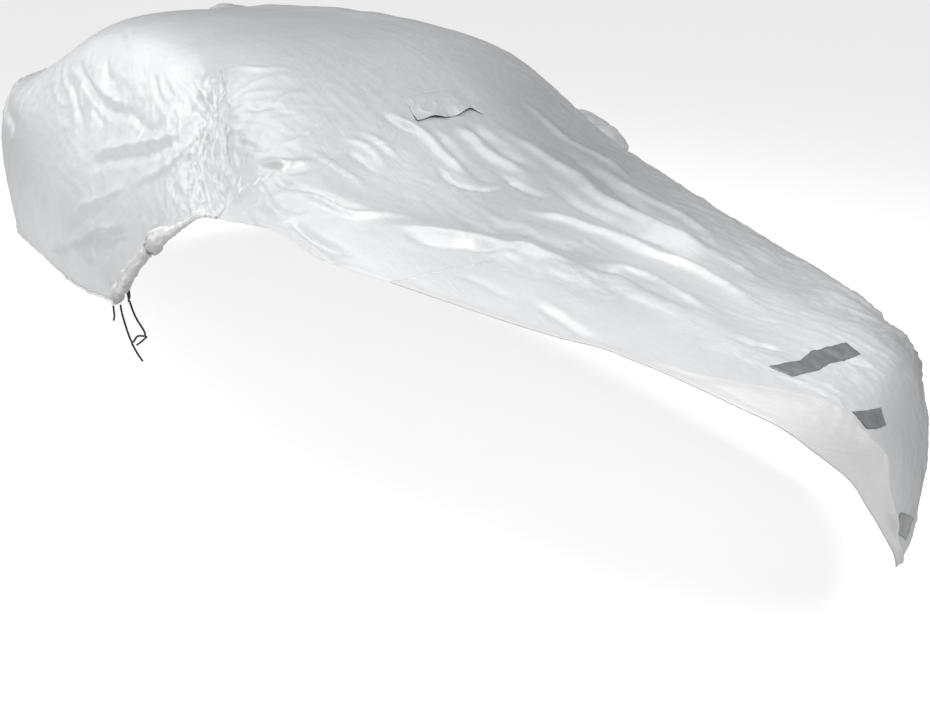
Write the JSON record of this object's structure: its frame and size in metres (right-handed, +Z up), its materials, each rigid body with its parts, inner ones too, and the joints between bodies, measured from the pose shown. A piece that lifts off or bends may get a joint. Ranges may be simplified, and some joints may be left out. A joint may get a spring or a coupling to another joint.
{
  "type": "fitted car cover",
  "caption": "Hollow silver cloth cover draped over the shape of a saloon car, with a mirror pocket, one front corner thrown back and black elastic ties.",
  "frame": {"origin": "the underside of the cloth at the top of the roof, on the middle line, where the car holds the cover up", "axes": "+X towards the car's left side, +Y towards the car's rear, +Z up"},
  "size_m": [1.999, 4.9175, 1.2099],
  "materials": {
    "silver_cloth": "thin silver-coated polyester, soft satin sheen",
    "grey_strip": "grey reflective tape, sewn on",
    "black_webbing": "black elastic and webbing, matt"
  },
  "bodies": {
    "root": {"roof_panel": "silver_cloth", "bonnet_panel": "silver_cloth", "quarter_panel_left": "silver_cloth", "side_panel_left": "silver_cloth", "wing_panel_left": "silver_cloth", "side_panel_right": "silver_cloth", "mirror_pocket_left": "silver_cloth", "mirror_pocket_right": "silver_cloth", "vent_flap": "silver_cloth", "reflective_strip_upper": "grey_strip", "reflective_strip_middle": "grey_strip", "reflective_strip_lower": "grey_strip", "tie_tab": "black_webbing", "tie_short": "black_webbing", "tie_loop": "black_webbing", "tie_end": "black_webbing", "tie_tail": "black_webbing"}
  },
  "joints": []
}
